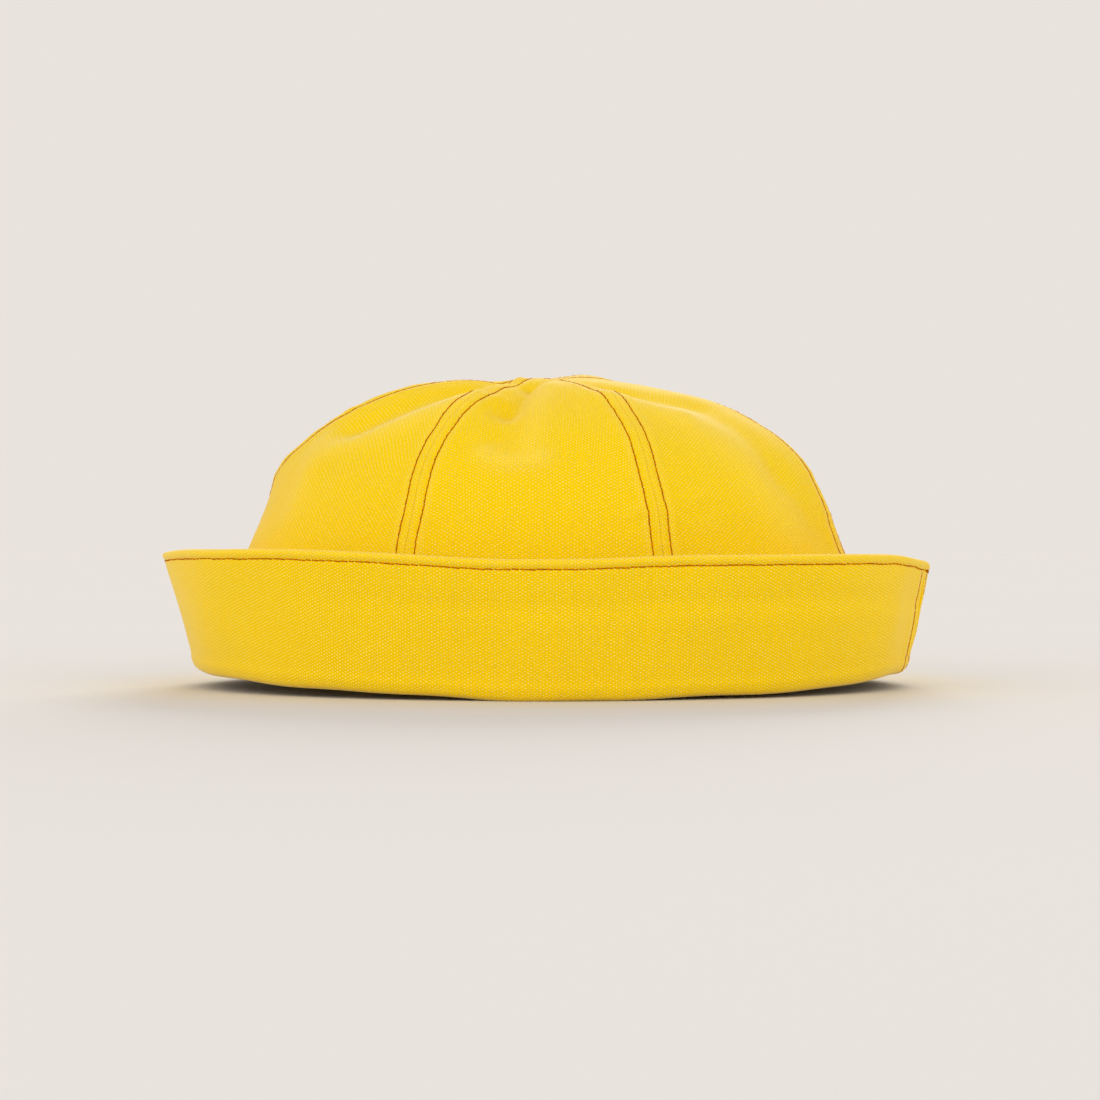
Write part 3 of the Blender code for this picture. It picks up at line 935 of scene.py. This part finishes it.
def stitch_row(path, normal, seed, sinks):
    """Vertices, quads and UVs of a row of thread stitches that follows a path."""
    chance = np.random.default_rng(seed)
    length = steps(path).sum()
    count = max(1, int(round(length / STITCH_PITCH)))
    pitch = length / count
    edges = np.arange(count + 1) * pitch
    edges[1:-1] += chance.normal(0.0, PITCH_CHANCE * pitch, count - 1)
    t = np.linspace(0.0, 1.0, THREAD_RINGS)
    start, span = edges[:-1, None], np.diff(edges)[:, None]
    points, normals = resample(path, normal, start + span * t)
    across = unit(np.cross(unit(np.gradient(points, axis=1)), normals))
    arch = np.sin(np.pi * t) ** THREAD_ARCH
    depth = chance.uniform(*sinks, count + 1)
    sink = depth[:-1, None] * (1 - t) + depth[1:, None] * t
    lean = THREAD_LEAN * (2 * t - 1) + LEAN_CHANCE * chance.normal(size=(count, 1))
    rise = (sink + THREAD_RISE) * arch - sink + RISE_CHANCE * chance.normal(size=(count, 1))
    centre = points + normals * rise[..., None] + across * lean[..., None]
    radius = THREAD_RADIUS * (THREAD_END + (1 - THREAD_END) * arch)
    angle = np.linspace(0.0, 2 * np.pi, THREAD_SIDES, endpoint=False)
    around = np.cos(angle)[:, None] * across[:, :, None]
    around = around + np.sin(angle)[:, None] * normals[:, :, None]
    ring = centre[:, :, None] + radius[None, :, None, None] * around
    number = np.arange(ring[..., 0].size).reshape(ring.shape[:-1])
    following = np.roll(number, -1, axis=2)
    ends = (number[:, :-1], following[:, :-1], following[:, 1:], number[:, 1:])
    quads = together(*ends)
    stitch = np.arange(count)[:, None, None] + t[:, None]
    uv = together(*np.broadcast_arrays(stitch, angle / (2 * np.pi)))
    return ring.reshape(-1, 3), quads.reshape(-1, 4), uv.reshape(-1, 2)


def stitch_object(name, rows, material, sinks=THREAD_SINK):
    """All the stitches of several rows as one piece."""
    points, quads, uvs, first = [], [], [], 0
    for seed, (path, normal) in enumerate(rows, THREAD_SEED):
        verts, faces, uv = stitch_row(path, normal, seed, sinks)
        points.append(verts)
        quads.append(faces + first)
        uvs.append(uv)
        first += len(verts)
    parts = map(join, (points, quads, uvs))
    made = mesh_object(name, *parts, material)
    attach(made, BODY)
    return made


def crown_row(index, side, inner=False):
    """Path of the row beside one seam of a panel, up to the crown's top."""
    along = np.arange(ROW_START, CROWN_LENGTH - ROW_STOP, ROW_STEP)
    wander = uneven_line(along, ROW_WANDER, 2 * index + side)
    part = (ROW_OFFSET + wander) / panel_width(index, along)
    along, part = along[part < 0.5], part[part < 0.5]
    across = part if side == 0 else 1.0 - part
    outside, inside, normal = crown_skin(index, across, along)
    return (inside, -normal) if inner else (outside, normal)


def apex_bridge(start, end, tree):
    """Path over the crown's top between the ends of two rows, found from above."""
    part = np.linspace(0.0, 1.0, BRIDGE_POINTS)[1:-1, None]
    flat = start + (end - start) * part
    points, normals = [], []
    for x, y, _ in flat * MM:
        hit, normal, _, _ = tree.ray_cast(Vector((x, y, 1.0)), Vector((0.0, 0.0, -1.0)))
        points.append(np.array(hit) / MM)
        normals.append(np.array(normal))
    return np.array(points), np.array(normals)


def crown_rows(tree):
    """Every topstitch row outside the crown: the last seam's rows cross the apex."""
    first, last = THROUGH_SEAMS
    crossing = [((first, 0), (last - 1, 1)), ((first - 1, 1), (last, 0))]
    rows = [crown_row(*place) for place in PANEL_SIDES if place not in sum(crossing, ())]
    for one, other in crossing:
        path_a, normal_a = crown_row(*one)
        path_b, normal_b = crown_row(*other)
        path_m, normal_m = apex_bridge(path_a[-1], path_b[-1], tree)
        rows.append((
            join([path_a, path_m, path_b[::-1]]),
            join([normal_a, normal_m, normal_b[::-1]]),
        ))
    return rows


def inner_rows():
    """The same rows where they show inside the crown."""
    return [crown_row(*place, inner=True) for place in PANEL_SIDES]


def below_rim(down):
    """Row of a ply's grid at a distance below its rim, from its last row back."""
    return BELOW_RIM.index(down) - len(BELOW_RIM) - ROLL_ROWS


def rim_row(ply):
    """Path of the row below the rim, on the shown skin of one ply."""
    lower, upper = map(below_rim, RIM_ROW_BETWEEN)
    part = 0.5 + uneven_line(ply.places, RIM_WANDER)[:, None]
    path = ply.shown[lower] * (1 - part) + ply.shown[upper] * part
    return path, ply.normal[lower]


def rim_tack(ply):
    """Short rows sewn back over the start of the rim's row."""
    lower, upper = map(below_rim, TACK_BETWEEN)
    near = (ply.places > TACK_START) & (ply.places < TACK_START + TACK_LENGTH)
    normal = ply.normal[lower, near]
    low, high = ply.shown[lower, near], ply.shown[upper, near]
    return [(low * (1 - part) + high * part + TACK_RISE * normal, normal) for part in TACK_PARTS]


def brim_seam_rows(ply):
    """Paths of the twin rows beside the brim's seam, from the fold to the rim's row."""
    length = ply.places[0] + ply.places[-1]
    sewn = slice(SEAM_ROWS_FROM, below_rim(SEAM_ROWS_TO))
    near = [np.argmin(abs(ply.places - place)) for place in (ROW_OFFSET, length - ROW_OFFSET)]
    return [(ply.shown[sewn, place], ply.normal[sewn, place]) for place in near]


# ---- Materials

class Nodes:
    """Short names for building a material's nodes."""

    def __init__(self, name):
        self.material = bpy.data.materials.new(name)
        self.material.use_nodes = True
        self.tree = self.material.node_tree
        self.shader = self.tree.nodes["Principled BSDF"]

    def add(self, kind, inputs=(), **settings):
        """A shader node with its settings and inputs."""
        node = self.tree.nodes.new("ShaderNode" + kind)
        for key, value in settings.items():
            setattr(node, key, value)
        for key, value in dict(inputs).items():
            self.put(node.inputs[key], value)
        return node

    def put(self, socket, value):
        """Link a socket to another node's output, or set it."""
        if isinstance(value, bpy.types.NodeSocket):
            self.tree.links.new(value, socket)
        else:
            socket.default_value = value

    def shade(self, **inputs):
        """Fill the shader's sockets, by their names with underscores."""
        for key, value in inputs.items():
            self.put(self.shader.inputs[key.replace("_", " ")], value)

    def math(self, operation, *values, clamp=False):
        """One step of arithmetic."""
        node = self.add("Math", operation=operation, use_clamp=clamp)
        for socket, value in zip(node.inputs, values):
            self.put(socket, value)
        return node.outputs[0]

    def plus(self, first, *others):
        """The sum of several values."""
        for value in others:
            first = self.math("ADD", first, value)
        return first

    def times(self, first, *others, clamp=False):
        """The product of several values."""
        for value in others[:-1]:
            first = self.math("MULTIPLY", first, value)
        return self.math("MULTIPLY", first, others[-1], clamp=clamp)

    def sine(self, value, turn=np.pi):
        """Sine of a value that counts half turns, or turns of a given size."""
        return self.math("SINE", self.times(value, turn))

    def mix(self, factor, first, second):
        """A colour between two, by a factor from 0 to 1."""
        node = self.add("Mix", data_type="RGBA", clamp_factor=True)
        for number, value in ((0, factor), (6, first), (7, second)):
            self.put(node.inputs[number], value)
        return node.outputs[2]

    def noise(self, place, scale, detail=2.0, roughness=0.5):
        """Smooth noise at a place."""
        inputs = {"Vector": place, "Scale": scale, "Detail": detail, "Roughness": roughness}
        return self.add("TexNoise", inputs).outputs["Fac"]

    def chance(self, dimensions, **inputs):
        """One chance value for each place."""
        node = self.add("TexWhiteNoise", inputs, noise_dimensions=dimensions)
        return node.outputs["Value"]

    def bump(self, height, strength, distance):
        """Normals of a relief."""
        inputs = {"Height": height, "Strength": strength, "Distance": distance}
        return self.add("Bump", inputs).outputs[0]

    def scaled(self, place, x, y):
        """A place stretched along x and y."""
        node = self.add("VectorMath", operation="MULTIPLY")
        self.put(node.inputs[0], place)
        self.put(node.inputs[1], (x, y, 1.0))
        return node.outputs[0]

    def grain(self):
        """The piece's flat coordinates, whole and as x and y."""
        flat = self.add("UVMap", uv_map="Grain").outputs[0]
        parts = self.add("SeparateXYZ", {"Vector": flat}).outputs
        return flat, parts[0], parts[1]


def canvas_material(name, weave):
    """Plain-woven duck: raised warp floats, deeper weft, uneven yarns, rubbed edges, painted
    sheen.
    """
    make = Nodes(name)
    flat, flat_x, flat_y = make.grain()
    sway = make.noise(flat, SWAY_SCALE, 1.0)
    sway_up = make.noise(make.scaled(flat, *SWAY_UP_STRETCH), SWAY_UP_SCALE, 1.0)
    across, up = (
        make.plus(make.math("DIVIDE", place, size), make.times(make.plus(stray, -0.5), YARN_SWAY))
        for place, size, stray in ((flat_x, weave.across, sway), (flat_y, weave.up, sway_up))
    )
    side_wave = make.sine(across)
    wave = make.times(side_wave, make.sine(up))
    warp = make.math("POWER", make.math("MAXIMUM", wave, 0.0), FLOAT_FULLNESS)
    raised = make.times(warp, make.math("POWER", make.math("ABSOLUTE", side_wave), FLOAT_ROUNDING))
    sunk = make.times(make.math("MAXIMUM", make.times(wave, -1.0), 0.0), WEFT_HEIGHT)
    columns, rows = (
        make.noise(make.scaled(flat, x / weave.across, y / weave.up), YARN_NOISE, 1.0)
        for x, y in ((1.0, YARN_LENGTH), (YARN_LENGTH, 1.0))
    )
    yarns = make.plus(make.times(columns, WARP_CHANCE), rows, THIN_YARN)
    height = make.times(make.plus(raised, sunk), make.plus(yarns, YARN_HEIGHT))

    broad = make.noise(flat, BROAD_SCALE, BROAD_DETAIL, BROAD_ROUGHNESS)
    corner = {"X": make.math("FLOOR", across), "Y": make.math("FLOOR", up)}
    chance = make.chance("2D", Vector=make.add("CombineXYZ", corner).outputs[0])
    lit = make.plus(make.times(chance, CREST_CHANCE), CREST_LEAST)
    # the floats' tops are painted paler: partly the yarn's own tone, partly painted sheen
    crest = make.times(raised, raised, lit, make.plus(yarns, YARN_BRIGHT), clamp=True)
    tone = make.mix(crest, weave.deep, weave.bright)
    tone = make.mix(make.times(broad, BROAD_SHARE), tone, weave.broad)
    # rubbed edges, and painted sheen on the crown's ridges: both mix in the pale tone
    wear_and_sheen = make.add("Attribute", attribute_name="wear_and_sheen").outputs["Fac"]
    paled_by_wear_and_sheen = make.times(wear_and_sheen, make.plus(height, WEAR_AND_SHEEN_BASE), WEAR_AND_SHEEN_SHARE, clamp=True)
    tone = make.mix(paled_by_wear_and_sheen, tone, WORN_AND_SHEEN_YELLOW)

    facing = make.add("LayerWeight", {"Blend": 0.5}).outputs["Facing"]
    fuzz_by_wear_and_sheen = make.plus(make.times(wear_and_sheen, FUZZ_WEAR_AND_SHEEN), 1.0)
    fuzz = make.times(make.math("POWER", facing, FUZZ_EDGE), FUZZ, fuzz_by_wear_and_sheen, clamp=True)
    make.shade(
        Base_Color=tone,
        Roughness=make.math("SUBTRACT", ROUGHNESS, make.times(height, CREST_GLOSS)),
        Normal=make.bump(height, 1.0, WEAVE_RELIEF),
        Specular_IOR_Level=0.0,
        Sheen_Weight=fuzz,
        Sheen_Roughness=FUZZ_ROUGHNESS,
        Sheen_Tint=FUZZ_TINT,
    )
    return make.material


def thread_material():
    """Red-brown twisted thread, with painted shade where each stitch goes into the cloth."""
    make = Nodes("stitching_thread")
    _, stitches, round_it = make.grain()
    along = make.math("FRACT", stitches)
    middle = make.sine(along)
    twist = make.sine(make.plus(make.times(along, THREAD_TWIST), round_it), 2 * np.pi)
    ply = make.plus(make.times(twist, 0.5), 0.5)
    chance = make.chance("1D", W=make.math("FLOOR", stitches))
    light = make.times(
        make.math("POWER", middle, END_SHADE),
        make.plus(make.times(chance, STITCH_CHANCE), 1 - STITCH_CHANCE),
        make.plus(make.times(ply, TWIST_SHADE), 1 - TWIST_SHADE),
    )
    make.shade(
        Base_Color=make.mix(light, *THREAD_TONES),
        Normal=make.bump(ply, TWIST_BUMP, THREAD_RELIEF),
        Roughness=THREAD_ROUGHNESS,
        Specular_IOR_Level=0.0,
    )
    return make.material


# ---- Studio

def studio_floor():
    """A wide pale floor that ends at the horizon in the world's own tone."""
    angle = np.radians(np.linspace(0.0, 360.0, FLOOR_CORNERS))
    radius = np.array(FLOOR_RADII)[:, None]
    points = together(radius * np.cos(angle), radius * np.sin(angle), 0 * radius * angle)
    make = Nodes("studio_paper")
    place = make.add("TexCoord").outputs["Object"]
    tone = make.mix(make.noise(place, FLOOR_MOTTLE), *FLOOR_TONES)
    make.shade(Base_Color=tone, Roughness=FLOOR_ROUGHNESS, Specular_IOR_Level=0.0)
    quads = grid_quads(len(radius), len(angle), turned=True)
    flat = points[..., :2].reshape(-1, 2)
    mesh_object("studio_floor", points.reshape(-1, 3) / MM, quads, flat, make.material)


def studio_lights():
    """Even light from all round, a soft key and two fills."""
    for lamp in LAMPS:
        data = bpy.data.lights.new(lamp.name, "SUN")
        data.angle = np.radians(lamp.spread)
        data.energy = np.pi * lamp.strength
        data.color = lamp.tone
        level = direction(lamp.azimuth) * np.cos(np.radians(lamp.height))
        place = Vector(level) + Vector((0.0, 0.0, np.sin(np.radians(lamp.height))))
        made = placed(lamp.name, data)
        made.location = place
        made.rotation_euler = place.to_track_quat("Z", "Y").to_euler()
    world = bpy.data.worlds.new("studio_world")
    world.use_nodes = True
    world.node_tree.nodes["Background"].inputs["Color"].default_value = WORLD_TONE
    bpy.context.scene.world = world


def studio_camera():
    """A level camera at the photograph's angle."""
    data = bpy.data.cameras.new("camera")
    data.lens = data.sensor_width * FOCAL_PIXELS / IMAGE_SIDE
    data.clip_start, data.clip_end = CLIP_START, CLIP_END
    camera = placed("camera", data)
    camera.location = CAMERA_PLACE
    camera.rotation_euler = (np.radians(90.0), 0.0, 0.0)
    bpy.context.scene.camera = camera


# ---- The cap

def crown_tree(panels):
    """The panels' faces, for rays."""
    verts, faces = [], []
    for panel in panels:
        first = len(verts)
        verts += [tuple(vertex.co) for vertex in panel.data.vertices]
        faces += [[first + corner for corner in face.vertices] for face in panel.data.polygons]
    return BVHTree.FromPolygons(verts, faces)


def build():
    """Every piece of the cap."""
    crown_canvas = canvas_material("crown_canvas_weave", CROWN_WEAVE)
    brim_canvas = canvas_material("brim_canvas_weave", BRIM_WEAVE)
    thread = thread_material()
    panels = [crown_panel(index, crown_canvas) for index in range(len(SEAMS))]
    stitch_object("crown_topstitch", crown_rows(crown_tree(panels)), thread)
    stitch_object("crown_topstitch_inside", inner_rows(), thread)
    outer = brim_ply("brim_outer_cloth", "brim_outer", 1, brim_canvas)
    facing = brim_ply("brim_facing_cloth", "brim_facing", -1, brim_canvas)
    rim_paths = [rim_row(outer), rim_row(facing)] + rim_tack(outer)
    stitch_object("rim_topstitch", rim_paths, thread, RIM_THREAD_SINK)
    stitch_object("brim_seam_topstitch", brim_seam_rows(outer), thread)


build()
studio_floor()
studio_lights()
studio_camera()
bpy.context.scene.view_settings.view_transform = "Standard"
